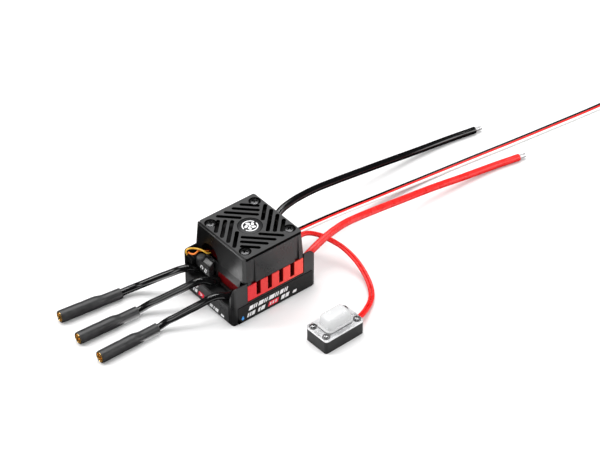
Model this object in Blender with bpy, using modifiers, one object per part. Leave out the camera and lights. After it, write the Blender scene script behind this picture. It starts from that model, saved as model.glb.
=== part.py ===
"""Brushless motor speed controller for a small model car.

A black case with a ledge at each end, a red finned heatsink, a fan under a louvred square shroud, three motor
leads with bullet sockets, two power leads, a receiver lead and a slide-switch module on its own lead.

Every dimension below is in millimetres. The origin is the centre of the case's underside, +Z is up, the motor
leads leave at -X and the power leads at +X.
"""

import math

import bmesh
import bpy
from mathutils import Matrix, Vector

MM = 0.001

# Case
CASE_X = 24.25
CASE_Y = 18.9
CASE_CORNER_R = 1.8
LID_T = 1.5
SEAM = 0.15
DECK_Z = 10.5
DECK_T = 1.5
CASE_WALL = 1.8
ARM_TOP = 21.8
ARM_INNER_Y = 16.3
ARM_SLOPE_Z = 15.0
ARM_TIP_Y = 18.5
WINDOW_X = (-15.9, 17.2)

# Cooling block: heatsink, fan and shroud share one centre line
COOL_X = 0.65
SINK_X = (-15.65, 16.95)
SINK_Y = 18.75
SINK_Z = 10.8
SINK_BASE_T = 1.2
SINK_TOP = 19.6
FIN_SPANS = ((-16.3, -11.1), (-8.7, -4.5), (-2.1, 2.1), (4.5, 8.7), (11.1, 16.3))
SHROUD_TOP = 35.35
GRILLE_T = 1.5
GRILLE_X = (-15.5, 16.9)
GRILLE_Y = 17.7
SCREW_OFFSET = 12.9
SLOT_W = 2.0
BADGE_R = 5.75

# Fan
FAN_SIDE = 30.0
FAN_Z = (24.6, 32.6)
FAN_BORE_R = 14.1
BLADES = 7
BLADE_TIP_R = 13.6
HUB_R = 7.2

# Leads
HEAVY_R = 1.8
THIN_R = 0.6
CORE_PITCH = 1.3
TWIN_R = 0.7
TWIN_PITCH = 1.5
SLEEVE_LENGTH = 32.0
SLEEVE_R = 3.0
SLEEVE_NECK_R = 2.6
SLEEVE_AXIS_Z = 3.05
NECK_AXIS_Z = 2.65
SOCKET_LENGTH = 19.0
MOTOR_EXITS = (12.4, 0.1, -11.5)
# From the floor of the socket's hole, over its mouth, down its outer side to the closed rear end
SOCKET_PROFILE = (
    (0, -11.0), (2.1, -11.0), (2.1, 0.0), (2.45, 0.0), (2.65, -0.2), (2.65, -12.0), (2.3, -12.4),
    (2.3, -13.2),
    (2.5, -13.6), (2.5, -SOCKET_LENGTH), (0, -SOCKET_LENGTH),
)

# Switch module: centre of its underside, and its turn about +Z
SWITCH_AT = (8.1, -52.5)
SWITCH_TURN = 1.5
SWITCH_SIZE = (23.0, 14.0, 6.8)
SWITCH_SCREW = (9.3, 4.5)
SLIDER_REST = -1.25

# Routes of the free leads, from the case outwards
MOTOR_ROUTES = (
    ((-20.5, 12.4, 12.5), (-22.0, 12.8, 13.2), (-24.3, 13.8, 14.3), (-28.4, 15.9, 14.0), (-32.2, 18.5, 12.1),
     (-35.6, 21.8, 9.5), (-39.2, 25.0, 6.8), (-42.9, 27.9, 4.4), (-47.4, 29.8, 3.1)),
    ((-20.7, 0.1, 12.5), (-22.3, 0.6, 13.1), (-24.5, 1.8, 14.5), (-26.8, 2.6, 15.1), (-29.0, 3.5, 14.6),
     (-36.0, 7.4, 10.9), (-43.0, 11.3, 7.1), (-48.5, 14.4, 4.2)),
    ((-20.4, -11.5, 12.4), (-22.5, -11.2, 12.7), (-25.0, -10.3, 13.6), (-27.3, -9.5, 13.9),
     (-29.8, -8.8, 13.6), (-32.5, -7.9, 12.5), (-38.0, -5.3, 9.6), (-44.0, -2.4, 6.4), (-49.0, 0.0, 3.8)),
)
SOCKET_TIPS = ((-84.1, 34.4), (-85.9, 17.0), (-85.5, 0.5))
SLEEVE_TURNS = (6.8, 2.9, 0.4)
RED_ROUTE = (
    (21.3, -13.5, 13.05), (26.2, -13.1, 15.2), (35.2, -11.4, 16.8), (43.2, -10.1, 17.3), (51.3, -9.1, 17.0),
    (59.7, -8.9, 16.2), (67.9, -8.5, 14.9), (86.6, -7.0, 11.0), (109.7, -5.1, 6.1), (130.0, -5.9, 3.4),
    (149.5, -7.5, 1.9), (163.6, -10.1, 1.85),
)
BLACK_ROUTE = (
    (21.3, 13.5, 13.05), (22.8, 13.7, 13.8), (26.2, 14.7, 15.7), (31.0, 16.4, 17.6), (40.2, 18.3, 18.2),
    (47.9, 19.5, 17.5), (55.8, 20.7, 16.2), (70.3, 22.4, 13.1), (86.3, 23.8, 9.7), (104.9, 24.7, 6.3),
    (126.3, 24.7, 3.2), (146.2, 23.2, 1.9), (161.8, 20.6, 1.85),
)
RECEIVER_ROUTE = (
    (21.9, 4.6, 12.1), (28.0, 4.7, 12.3), (35.6, 5.0, 11.8), (47.3, 5.8, 10.2), (63.9, 6.9, 7.6),
    (82.7, 8.0, 4.4), (100.3, 8.1, 2.4), (114.4, 7.6, 1.3), (128.8, 6.6, 0.7), (150.4, 4.2, 0.65),
    (170.4, 1.8, 0.65), (200.9, -1.5, 0.65), (227.6, -4.1, 0.65), (235.9, -4.8, 0.8), (240.0, -5.1, 1.3),
)
SWITCH_ROUTE = (
    (21.9, -1.2, 12.1), (25.0, -1.0, 13.4), (28.6, -0.6, 14.4), (32.4, -0.6, 14.4), (35.3, -1.5, 13.8),
    (37.5, -2.9, 13.0), (39.4, -4.7, 12.2), (41.1, -7.0, 11.2), (42.7, -10.1, 10.2), (44.2, -13.8, 9.0),
    (45.1, -17.8, 7.6), (45.4, -22.2, 6.2), (44.4, -30.6, 3.4), (41.4, -38.4, 1.7), (38.0, -43.2, 1.4),
    (34.4, -46.4, 1.6), (30.1, -49.1, 2.2), (25.6, -51.5, 3.0), (20.95, -53.2, 3.75),
)
FAN_LEAD_ROUTES = {
    "fan_lead_yellow": ((-22.9, 15.9, 18.5), (-22.9, 16.7, 18.8), (-23.2, 17.3, 20.0), (-23.7, 17.0, 22.0),
                        (-23.3, 15.4, 24.2), (-22.3, 15.1, 24.1), (-21.0, 14.5, 23.8), (-19.0, 12.4, 23.4),
                        (-18.2, 11.2, 23.0), (-17.4, 10.2, 22.1), (-16.4, 9.7, 21.5), (-15.2, 9.7, 21.2)),
    "fan_lead_orange": ((-21.6, 15.9, 18.5), (-21.6, 16.7, 18.8), (-22.2, 17.1, 19.7), (-22.6, 16.5, 20.9),
                        (-22.8, 15.0, 21.3), (-22.0, 12.9, 22.0), (-21.0, 12.3, 22.9), (-20.0, 12.8, 22.7),
                        (-18.8, 13.0, 22.2), (-17.4, 12.3, 21.8), (-16.2, 11.6, 21.5), (-15.2, 11.2, 21.2)),
}
PLUG_TURN = -7.0
PLUG_SIZE = (14.0, 7.7, 2.6)

# Finishes: colour, roughness, metallic
FINISHES = {
    "black_plastic": ((0.022, 0.022, 0.023), 0.55, 0.0),
    "shroud_plastic": ((0.045, 0.045, 0.047), 0.5, 0.0),
    "red_anodised": ((0.55, 0.015, 0.02), 0.35, 0.8),
    "gloss_label": ((0.012, 0.012, 0.013), 0.15, 0.0),
    "grey_label": ((0.12, 0.12, 0.125), 0.3, 0.0),
    "black_silicone": ((0.02, 0.02, 0.021), 0.45, 0.0),
    "red_silicone": ((0.72, 0.03, 0.025), 0.45, 0.0),
    "white_silicone": ((0.85, 0.85, 0.85), 0.45, 0.0),
    "yellow_silicone": ((0.85, 0.5, 0.06), 0.45, 0.0),
    "orange_silicone": ((0.75, 0.25, 0.03), 0.45, 0.0),
    "shrink": ((0.03, 0.03, 0.032), 0.55, 0.0),
    "gold": ((0.83, 0.55, 0.18), 0.2, 1.0),
    "tin": ((0.75, 0.75, 0.76), 0.25, 1.0),
    "steel": ((0.32, 0.32, 0.33), 0.3, 1.0),
    "bright_steel": ((0.78, 0.78, 0.79), 0.18, 1.0),
    "grey_rubber": ((0.22, 0.22, 0.23), 0.7, 0.0),
    "seal_rubber": ((0.015, 0.015, 0.015), 0.8, 0.0),
    "clear_rubber": ((0.86, 0.87, 0.88), 0.4, 0.0),
    "board_green": ((0.02, 0.12, 0.05), 0.5, 0.0),
    "copper": ((0.7, 0.35, 0.2), 0.35, 1.0),
    "pad_grey": ((0.4, 0.42, 0.45), 0.8, 0.0),
    "chip_black": ((0.02, 0.02, 0.022), 0.4, 0.0),
    "can_metal": ((0.6, 0.6, 0.62), 0.3, 0.9),
}


def clear_scene():
    for obj in list(bpy.data.objects):
        bpy.data.objects.remove(obj, do_unlink=True)


def new_collection(name):
    group = bpy.data.collections.new(name)
    bpy.context.scene.collection.children.link(group)
    return group


def new_material(name):
    colour, roughness, metallic = FINISHES[name]
    finish = bpy.data.materials.new(name)
    finish.use_nodes = True
    shader = finish.node_tree.nodes["Principled BSDF"]
    shader.inputs["Base Color"].default_value = (*colour, 1.0)
    shader.inputs["Roughness"].default_value = roughness
    shader.inputs["Metallic"].default_value = metallic
    return finish


clear_scene()
PART = new_collection("speed_controller")
CUTTERS = new_collection("cutters")
MATERIALS = {name: new_material(name) for name in FINISHES}


# ---- shapes: each returns a bmesh in metres, in the part's own frame ----


def block(low, high):
    bm = bmesh.new()
    low, high = Vector(low) * MM, Vector(high) * MM
    size = Matrix.Diagonal((*(high - low), 1.0))
    bmesh.ops.create_cube(bm, size=1.0, matrix=Matrix.Translation((low + high) / 2) @ size)
    return bm


def round_edges(bm, axis, radius, segments=3, keep=None):
    """Rounds the edges that run along an axis, all of them or those that keep() accepts."""
    edges = []
    for edge in bm.edges:
        along = (edge.verts[1].co - edge.verts[0].co).normalized()
        middle = (edge.verts[0].co + edge.verts[1].co) / 2 / MM
        if abs(along["XYZ".index(axis)]) > 0.99 and (keep is None or keep(middle)):
            edges.append(edge)
    bmesh.ops.bevel(bm, geom=edges, offset=radius * MM, segments=segments, profile=0.5, affect="EDGES")
    return bm


def rounded_block(low, high, radius, segments=3, axis="Z"):
    return round_edges(block(low, high), axis, radius, segments)


def taper(z_low, z_high, low_rect, high_rect):
    """A block whose lower and upper faces are the rectangles (x0, x1, y0, y1)."""
    bm = block((-1, -1, z_low), (1, 1, z_high))
    for vert in bm.verts:
        x0, x1, y0, y1 = high_rect if vert.co.z > (z_low + z_high) / 2 * MM else low_rect
        vert.co.x = (x1 if vert.co.x > 0 else x0) * MM
        vert.co.y = (y1 if vert.co.y > 0 else y0) * MM
    return bm


def rod(start, end, radius, sides=16, end_radius=None):
    """A cylinder or cone between two points."""
    start, end = Vector(start) * MM, Vector(end) * MM
    turn = (end - start).to_track_quat("Z", "Y").to_matrix().to_4x4()
    bm = bmesh.new()
    bmesh.ops.create_cone(
        bm,
        cap_ends=True,
        segments=sides,
        radius1=radius * MM,
        radius2=(radius if end_radius is None else end_radius) * MM,
        depth=(end - start).length,
        matrix=Matrix.Translation((start + end) / 2) @ turn,
    )
    return bm


def slot_shape(centre, angle, length, width, z_low, z_high):
    """An upright prism with round ends: a cylinder pulled apart along its own X."""
    sides = 12
    bm = bmesh.new()
    half_step = Matrix.Rotation(math.pi / sides, 4, "Z")
    bmesh.ops.create_cone(
        bm,
        cap_ends=True,
        segments=sides,
        radius1=width / 2 * MM,
        radius2=width / 2 * MM,
        depth=(z_high - z_low) * MM,
        matrix=half_step,
    )
    pull = (length - width) / 2 * MM
    for vert in bm.verts:
        vert.co.x += math.copysign(pull, vert.co.x)
    place = Matrix.Translation(Vector((*centre, (z_low + z_high) / 2)) * MM)
    bmesh.ops.transform(bm, matrix=place @ Matrix.Rotation(angle, 4, "Z"), verts=bm.verts)
    return bm


def merged(*shapes):
    """Several shapes as one bmesh, for a Boolean that takes them all at once."""
    total = bmesh.new()
    for shape in shapes:
        mesh = bpy.data.meshes.new("step")
        shape.to_mesh(mesh)
        shape.free()
        total.from_mesh(mesh)
        bpy.data.meshes.remove(mesh)
    return total


# ---- objects ----


def make(name, bm, finish, origin=None, smooth=False):
    """A node from a bmesh, with its origin at the middle of its box or where asked."""
    if origin is None:
        corners = [Vector(pick(v.co[i] for v in bm.verts) for i in range(3)) for pick in (min, max)]
        origin = (corners[0] + corners[1]) / 2
    else:
        origin = Vector(origin) * MM
    bmesh.ops.translate(bm, vec=-origin, verts=bm.verts)
    mesh = bpy.data.meshes.new(name)
    bm.to_mesh(mesh)
    bm.free()
    obj = bpy.data.objects.new(name, mesh)
    obj.location = origin
    if finish is None:
        CUTTERS.objects.link(obj)
        obj.hide_render = True
        obj.display_type = "WIRE"
        return obj
    PART.objects.link(obj)
    mesh.materials.append(MATERIALS[finish])
    if smooth:
        mesh.shade_smooth()
    return obj


def combine(obj, operation, *shapes):
    """Adds one Boolean for each shape, which is a bmesh."""
    for index, shape in enumerate(shapes):
        modifier = obj.modifiers.new(f"{operation.lower()}_{index}", "BOOLEAN")
        modifier.operation = operation
        modifier.solver = "EXACT"
        modifier.object = make(f"{obj.name}_{operation.lower()}_{len(obj.modifiers)}", shape, None)
    return obj


def cut(obj, *shapes):
    return combine(obj, "DIFFERENCE", *shapes)


def fuse(obj, *shapes):
    return combine(obj, "UNION", *shapes)


def keep_inside(obj, *shapes):
    return combine(obj, "INTERSECT", *shapes)


def turned(name, profile, finish, at, turn=None, steps=24):
    """A turned solid or ring: (radius, height) points down the outer side, spun about the object's Z."""
    mesh = bpy.data.meshes.new(name)
    count = len(profile)
    closed = all(radius > 0 for radius, _ in profile)
    edges = [(i, i + 1) for i in range(count - 1)] + ([(count - 1, 0)] if closed else [])
    mesh.from_pydata([(radius * MM, 0, height * MM) for radius, height in profile], edges, [])
    mesh.materials.append(MATERIALS[finish])
    obj = bpy.data.objects.new(name, mesh)
    PART.objects.link(obj)
    obj.location = Vector(at) * MM
    if turn is not None:
        obj.rotation_euler = turn
    spin = obj.modifiers.new("spin", "SCREW")
    spin.steps = steps
    spin.render_steps = steps
    spin.use_merge_vertices = True
    spin.merge_threshold = 0.00001
    spin.use_smooth_shade = False
    return obj


def smooth_route(route, step):
    """Evenly spaced points, about a step apart, on a smooth curve through the route's points."""
    points = [Vector(point) for point in route]
    gaps = [(b - a).length for a, b in zip(points, points[1:])]
    slopes = [(b - a) / gap for a, b, gap in zip(points, points[1:], gaps)]
    tangents = [slopes[0]]
    for i in range(1, len(points) - 1):
        before, after = gaps[i - 1], gaps[i]
        tangents.append((slopes[i - 1] * after + slopes[i] * before) / (before + after))
    tangents.append(slopes[-1])
    fine = [points[0]]
    for i, gap in enumerate(gaps):
        for k in range(1, 25):
            u = k / 24
            fine.append(
                points[i] * (2 * u**3 - 3 * u**2 + 1)
                + tangents[i] * gap * (u**3 - 2 * u**2 + u)
                + points[i + 1] * (3 * u**2 - 2 * u**3)
                + tangents[i + 1] * gap * (u**3 - u**2)
            )
    lengths = [0.0]
    for a, b in zip(fine, fine[1:]):
        lengths.append(lengths[-1] + (b - a).length)
    count = max(2, math.ceil(lengths[-1] / step))
    even, k = [], 0
    for i in range(count + 1):
        target = lengths[-1] * i / count
        while k < len(fine) - 2 and lengths[k + 1] < target:
            k += 1
        share = (target - lengths[k]) / (lengths[k + 1] - lengths[k])
        even.append(fine[k].lerp(fine[k + 1], min(max(share, 0.0), 1.0)))
    return even


def sideways(points, distance):
    """The same route moved level to its left by a distance."""
    moved = []
    for i, point in enumerate(points):
        along = points[min(i + 1, len(points) - 1)] - points[max(i - 1, 0)]
        left = Vector((-along.y, along.x, 0)).normalized()
        moved.append(point + left * distance)
    return moved


def curve_object(name, points, radius, finish, scales=None):
    """A round tube with filled ends along straight runs between the points."""
    curve = bpy.data.curves.new(name, "CURVE")
    curve.dimensions = "3D"
    curve.bevel_depth = radius * MM
    curve.bevel_resolution = 2
    curve.use_fill_caps = True
    spline = curve.splines.new("POLY")
    spline.points.add(len(points) - 1)
    for i, (target, point) in enumerate(zip(spline.points, points)):
        target.co = (*(Vector(point) * MM), 1.0)
        target.radius = 1.0 if scales is None else scales[i]
    obj = bpy.data.objects.new(name, curve)
    PART.objects.link(obj)
    curve.materials.append(MATERIALS[finish])
    return obj


def tube_shape(points, radii):
    """A tube as a welded bmesh, its radius given at each point."""
    obj = curve_object("step", points, 1.0, "shrink", radii)
    obj.data.bevel_resolution = 6
    graph = bpy.context.evaluated_depsgraph_get()
    mesh = bpy.data.meshes.new_from_object(obj.evaluated_get(graph))
    bm = bmesh.new()
    bm.from_mesh(mesh)
    bmesh.ops.remove_doubles(bm, verts=bm.verts, dist=0.00001)
    bmesh.ops.recalc_face_normals(bm, faces=bm.faces)
    curve = obj.data
    bpy.data.objects.remove(obj)
    bpy.data.curves.remove(curve)
    bpy.data.meshes.remove(mesh)
    return bm


# ---- case ----


def build_case():
    body = make(
        "lower_case",
        rounded_block((-CASE_X, -CASE_Y, LID_T + SEAM), (CASE_X, CASE_Y, ARM_TOP), CASE_CORNER_R),
        "black_plastic",
    )
    # Seen from the side, the power end's arms have a large round corner and the motor end's a small one.
    side_view = block((-CASE_X - 0.01, -CASE_Y - 1, -1), (CASE_X + 0.01, CASE_Y + 1, ARM_TOP + 0.01))
    round_edges(side_view, "Y", 5.5, 6, keep=lambda m: m.x > 0 and m.z > DECK_Z)
    round_edges(side_view, "Y", 2.2, 4, keep=lambda m: m.x < -CASE_X + 0.5 and m.z > DECK_Z)
    keep_inside(body, side_view)
    ledge_cut = taper(
        ARM_SLOPE_Z - 0.01,
        ARM_TOP + 0.5,
        (-CASE_X - 1, CASE_X + 1, -ARM_INNER_Y, ARM_INNER_Y),
        (-CASE_X - 1, CASE_X + 1, -ARM_TIP_Y, ARM_TIP_Y),
    )
    low_cut = block((-CASE_X - 1, -ARM_INNER_Y, DECK_Z), (CASE_X + 1, ARM_INNER_Y, ARM_SLOPE_Z + 0.02))
    window = block((WINDOW_X[0], -CASE_Y - 1, DECK_Z - 0.005), (WINDOW_X[1], CASE_Y + 1, ARM_TOP + 1))
    room = block(
        (-CASE_X + CASE_WALL, -CASE_Y + CASE_WALL, -1),
        (CASE_X - CASE_WALL, CASE_Y - CASE_WALL, DECK_Z - DECK_T),
    )
    sink_hole = block((-14.9, -15.6, DECK_Z - 3), (16.2, 15.6, DECK_Z + 1))
    cut(body, ledge_cut, low_cut, window, room, sink_hole)

    lid = make(
        "bottom_cover",
        round_edges(
            rounded_block((-CASE_X, -CASE_Y, 0), (CASE_X, CASE_Y, LID_T), CASE_CORNER_R),
            "X",
            0.3,
            1,
            keep=lambda m: m.z < 0.1,
        ),
        "black_plastic",
    )
    for x in (-19.0, 19.0):
        for y in (-13.5, 13.5):
            fuse(lid, rod((x, y, LID_T - 0.5), (x, y, 3.0), 1.8, 12))

    make("side_label", rounded_block((-21.7, -19.15, 0.3), (22.3, -18.95, 9.7), 0.4, 1, "Y"), "gloss_label")
    make("end_label", rounded_block((-24.5, -15.4, 0.5), (-24.3, 16.4, 9.8), 0.5, 2, "X"), "grey_label")


def build_boards():
    make("power_board", block((-21.6, -16.3, 3.3), (21.6, 16.3, 4.9)), "board_green")
    for name, y in (("transistor_row_front", -11.0), ("transistor_row_rear", 11.0)):
        row = make(name, block((-13.6, y - 2.6, 5.2), (13.6, y + 2.6, 5.7)), "copper")
        for i in range(6):
            x = -11.25 + i * 4.5
            fuse(row, block((x - 1.9, y - 2.2, 5.5), (x + 1.9, y + 2.2, 6.6)))
    make("thermal_pad", block((-14.0, -14.6, 6.9), (15.4, 14.6, 7.9)), "pad_grey")
    for i, y in enumerate((-6.0, 6.0)):
        profile = ((0, 3.6), (2.6, 3.6), (3.15, 3.1), (3.15, 0.0), (0, 0.0))
        turned(f"capacitor_{i + 1}", profile, "can_metal", (18.9, y, 5.2), steps=16)
    make("control_board", block((-21.6, -13.0, 6.8), (-15.2, 13.0, 7.6)), "board_green")
    make("board_connector", block((-20.6, -6.0, 5.2), (-17.6, 6.0, 6.5)), "chip_black")
    make("processor_chip", block((-20.8, -9.0, 7.85), (-16.4, -4.6, 8.7)), "chip_black")


def build_seals():
    """Rubber strips that close the case round the leads, with a collar on each heavy lead."""
    seal = make("motor_lead_seal", block((-18.9, -14.8, DECK_Z + 0.3), (-17.6, 14.9, 12.6)), "seal_rubber")
    for y in MOTOR_EXITS:
        fuse(seal, rod((-18.0, y, 11.9), (-19.9, y, 12.3), 2.3, 12))
    cut(seal, block((-25, -20, 5), (-10, 20, DECK_Z + 0.3)))
    seal = make("power_lead_seal", block((17.6, -15.9, DECK_Z + 0.3), (20.4, 15.9, 13.2)), "seal_rubber")
    for y in (-13.5, 13.5):
        fuse(seal, rod((18.9, y, 12.0), (20.9, y, 12.85), 2.3, 12))
    cut(seal, block((10, -20, 5), (25, 20, DECK_Z + 0.3)))
    fuse(seal, block((20.0, 2.2, 11.2), (21.6, 7.0, 13.0)))
    fuse(seal, block((20.0, -3.0, 11.2), (21.6, 0.6, 13.0)))


# ---- cooling ----


def build_heatsink():
    sink = make(
        "heatsink",
        block((SINK_X[0], -SINK_Y, SINK_Z), (SINK_X[1], SINK_Y, SINK_Z + SINK_BASE_T)),
        "red_anodised",
    )
    fuse(sink, block((-14.5, -15.2, 8.2), (15.8, 15.2, SINK_Z + 0.5)))
    fuse(sink, block((-17.4, -15.2, SINK_Z), (-15.0, 1.1, 18.2)))
    for low, high in FIN_SPANS:
        fuse(sink, block((COOL_X + low, -SINK_Y, SINK_Z + 0.6), (COOL_X + high, SINK_Y, SINK_TOP)))


def build_shroud():
    # The upper box, with the sloped strip along the top of its motor end
    outer = taper(22.1, SHROUD_TOP, (-17.5, 17.75, -18.45, 18.45), (-16.75, 17.0, -GRILLE_Y, GRILLE_Y))
    bmesh.ops.bevel(
        outer,
        geom=[e for e in outer.edges if abs(e.verts[0].co.z - e.verts[1].co.z) > 5 * MM],
        offset=1.3 * MM,
        segments=3,
        profile=0.5,
        affect="EDGES",
    )
    shroud = make("fan_shroud", outer, "shroud_plastic")
    skirt = taper(18.4, 22.6, (-18.3, 18.4, -15.8, 15.8), (-17.4, 17.7, -15.8, 15.8))
    panels = taper(19.95, 22.6, (-15.4, 16.7, -18.6, 18.6), (-15.4, 16.7, -18.4, 18.4))
    fuse(shroud, skirt, panels)
    room = taper(18.0, 34.4, (-16.6, 17.15, -16.9, 16.9), (-15.2, 16.1, -16.1, 16.1))
    # Corner posts inside, for the four long screws
    posts = [
        block((COOL_X + sx * 14.2 - 3.0, sy * 14.2 - 3.0, 21.0),
              (COOL_X + sx * 14.2 + 3.0, sy * 14.2 + 3.0, 24.3))
        for sx in (-1, 1)
        for sy in (-1, 1)
    ]
    cut(shroud, room)
    fuse(shroud, *posts)
    grille_seat = block((GRILLE_X[0] - 0.15, -20, SHROUD_TOP - GRILLE_T - 0.15), (20, 20, SHROUD_TOP + 1))
    cut(shroud, grille_seat)
    # The motor end's top edge slopes
    slope = block((-3, -25, -2), (3, 25, 2))
    tilt = Matrix.Translation(Vector((-18.0, 0, 36.65)) * MM) @ Matrix.Rotation(math.radians(-54), 4, "Y")
    bmesh.ops.transform(slope, matrix=tilt, verts=slope.verts)
    cut(shroud, slope)
    for side in (-1, 1):
        for x in (-12.1, 13.4):
            upright = block((x - 1.3, side * 18.9 - 1.2, 17), (x + 1.3, side * 18.9 + 1.2, 32.7))
            top = rod((x, side * 18.9 - 1.2, 32.7), (x, side * 18.9 + 1.2, 32.7), 1.3, 16)
            cut(shroud, upright, top)
    for sx in (-1, 1):
        for sy in (-1, 1):
            x, y = COOL_X + sx * SCREW_OFFSET, sy * SCREW_OFFSET
            cut(shroud, rod((x, y, 20), (x, y, 26), 1.45, 12))
    # Arch for the fan lead, in the motor end's wall
    cut(shroud, block((-20, 1.0, 17), (-14, 13.6, 22.2)), rod((-20, 7.3, 22.2), (-14, 7.3, 22.2), 6.3, 20))


def build_grille():
    plate = make(
        "top_grille",
        rounded_block(
            (GRILLE_X[0], -GRILLE_Y, SHROUD_TOP - GRILLE_T),
            (GRILLE_X[1], GRILLE_Y, SHROUD_TOP),
            0.9,
            2,
        ),
        "shroud_plastic",
    )
    # One group of four slots, turned four times about the middle. Each starts near the edge and runs at 45
    # degrees towards the next group, and the fourth stops at the badge.
    slots = []
    edge = 15.4
    for start, length in ((5.8, 9.6), (1.2, 13.3), (-3.4, 16.6), (-7.95, 12.1)):
        half = length / 2 / math.sqrt(2)
        for quarter in range(4):
            middle = Matrix.Rotation(quarter * math.pi / 2, 3, "Z") @ Vector((start + half, edge - half, 0))
            slots.append(
                slot_shape(
                    (COOL_X + middle.x, middle.y),
                    math.radians(-45 + 90 * quarter),
                    length,
                    SLOT_W,
                    SHROUD_TOP - GRILLE_T - 1,
                    SHROUD_TOP + 1,
                )
            )
    cut(plate, merged(*slots))
    for sx in (-1, 1):
        for sy in (-1, 1):
            x, y = COOL_X + sx * SCREW_OFFSET, sy * SCREW_OFFSET
            cut(plate, rod((x, y, 33), (x, y, 37), 1.45, 12), rod((x, y, 34.45), (x, y, 37), 2.95, 20))
    cut(plate, rod((COOL_X, 0, 34.65), (COOL_X, 0, 37), BADGE_R + 0.2, 32))
    badge_profile = ((0, 0.45), (BADGE_R - 0.3, 0.45), (BADGE_R, 0.3), (BADGE_R, 0), (0, 0))
    turned("centre_badge", badge_profile, "gloss_label", (COOL_X, 0, 34.8), steps=32)

    number = 1
    for sx in (-1, 1):
        for sy in (-1, 1):
            x, y = COOL_X + sx * SCREW_OFFSET, sy * SCREW_OFFSET
            screw = make(f"grille_screw_{number}", rod((x, y, 34.6), (x, y, 35.5), 2.35, 20, 2.0), "steel")
            fuse(screw, rod((x, y, 22.5), (x, y, 34.9), 1.15, 10))
            for turn in (0.6, 0.6 + math.pi / 2):
                cut(screw, slot_shape((x, y), turn, 2.8, 0.55, 35.0, 36.0))
            number += 1


def build_fan():
    z0, z1 = FAN_Z
    half = FAN_SIDE / 2
    frame = make(
        "fan_frame",
        rounded_block((COOL_X - half, -half, z0), (COOL_X + half, half, z1), 2.0, 3),
        "black_plastic",
    )
    cut(frame, rod((COOL_X, 0, z0 - 1), (COOL_X, 0, z1 + 1), FAN_BORE_R, 48))
    for sx in (-1, 1):
        for sy in (-1, 1):
            x, y = COOL_X + sx * SCREW_OFFSET, sy * SCREW_OFFSET
            cut(frame, rod((x, y, z0 - 1), (x, y, z1 + 1), 1.45, 12))
    fuse(frame, rod((COOL_X, 0, z0), (COOL_X, 0, z0 + 1.0), 6.6, 24))
    for k in range(3):
        strut = block((5.5, -0.9, z0), (FAN_BORE_R + 0.4, 0.9, z0 + 1.0))
        turn = Matrix.Translation((COOL_X * MM, 0, 0)) @ Matrix.Rotation(math.radians(60 + 120 * k), 4, "Z")
        bmesh.ops.transform(strut, matrix=turn, verts=strut.verts)
        fuse(frame, strut)
    fuse(frame, rod((COOL_X, 0, z0 + 0.5), (COOL_X, 0, z0 + 5.0), 1.9, 16))
    cut(frame, rod((COOL_X, 0, z0 + 0.6), (COOL_X, 0, z0 + 6.0), 1.1, 12))

    stator = ((5.4, 4.4), (5.4, 1.4), (2.2, 1.4), (2.2, 4.4))
    turned("fan_stator", stator, "copper", (COOL_X, 0, z0), steps=24)

    hub_top, hub_low = 7.3, 1.9
    profile = (
        (0, hub_top), (HUB_R - 0.6, hub_top), (HUB_R, hub_top - 0.6), (HUB_R, hub_low),
        (HUB_R - 0.9, hub_low),
        (HUB_R - 0.9, hub_top - 1.0), (0, hub_top - 1.0),
    )
    impeller = turned("fan_impeller", profile, "shroud_plastic", (COOL_X, 0, z0), steps=32)
    blades = []
    for k in range(BLADES):
        blades.append(blade_shape(2 * math.pi * k / BLADES, z0 + (hub_top + hub_low) / 2))
    fuse(impeller, merged(*blades))
    make("fan_shaft", rod((COOL_X, 0, z0 + 0.9), (COOL_X, 0, z0 + hub_top - 1.3), 0.75, 12), "bright_steel",
         origin=(COOL_X, 0, z0 + 3))


def blade_shape(angle, middle_z):
    """A thin slab from hub to tip, twisted so that it is steeper at the hub."""
    bm = block((HUB_R - 0.5, -3.1, -0.4), (BLADE_TIP_R, 3.1, 0.4))
    lengthwise = [e for e in bm.edges if abs(e.verts[0].co.x - e.verts[1].co.x) > 1 * MM]
    bmesh.ops.subdivide_edges(bm, edges=lengthwise, cuts=3, use_grid_fill=True)
    for vert in bm.verts:
        share = (vert.co.x / MM - HUB_R) / (BLADE_TIP_R - HUB_R)
        pitch = math.radians(48 - 16 * share)
        widen = 0.8 + 0.35 * share
        y, z = vert.co.y * widen, vert.co.z
        vert.co.y = y * math.cos(pitch) - z * math.sin(pitch)
        vert.co.z = y * math.sin(pitch) + z * math.cos(pitch)
    place = Matrix.Translation(Vector((COOL_X, 0, middle_z)) * MM) @ Matrix.Rotation(angle, 4, "Z")
    bmesh.ops.transform(bm, matrix=place, verts=bm.verts)
    return bm


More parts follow.
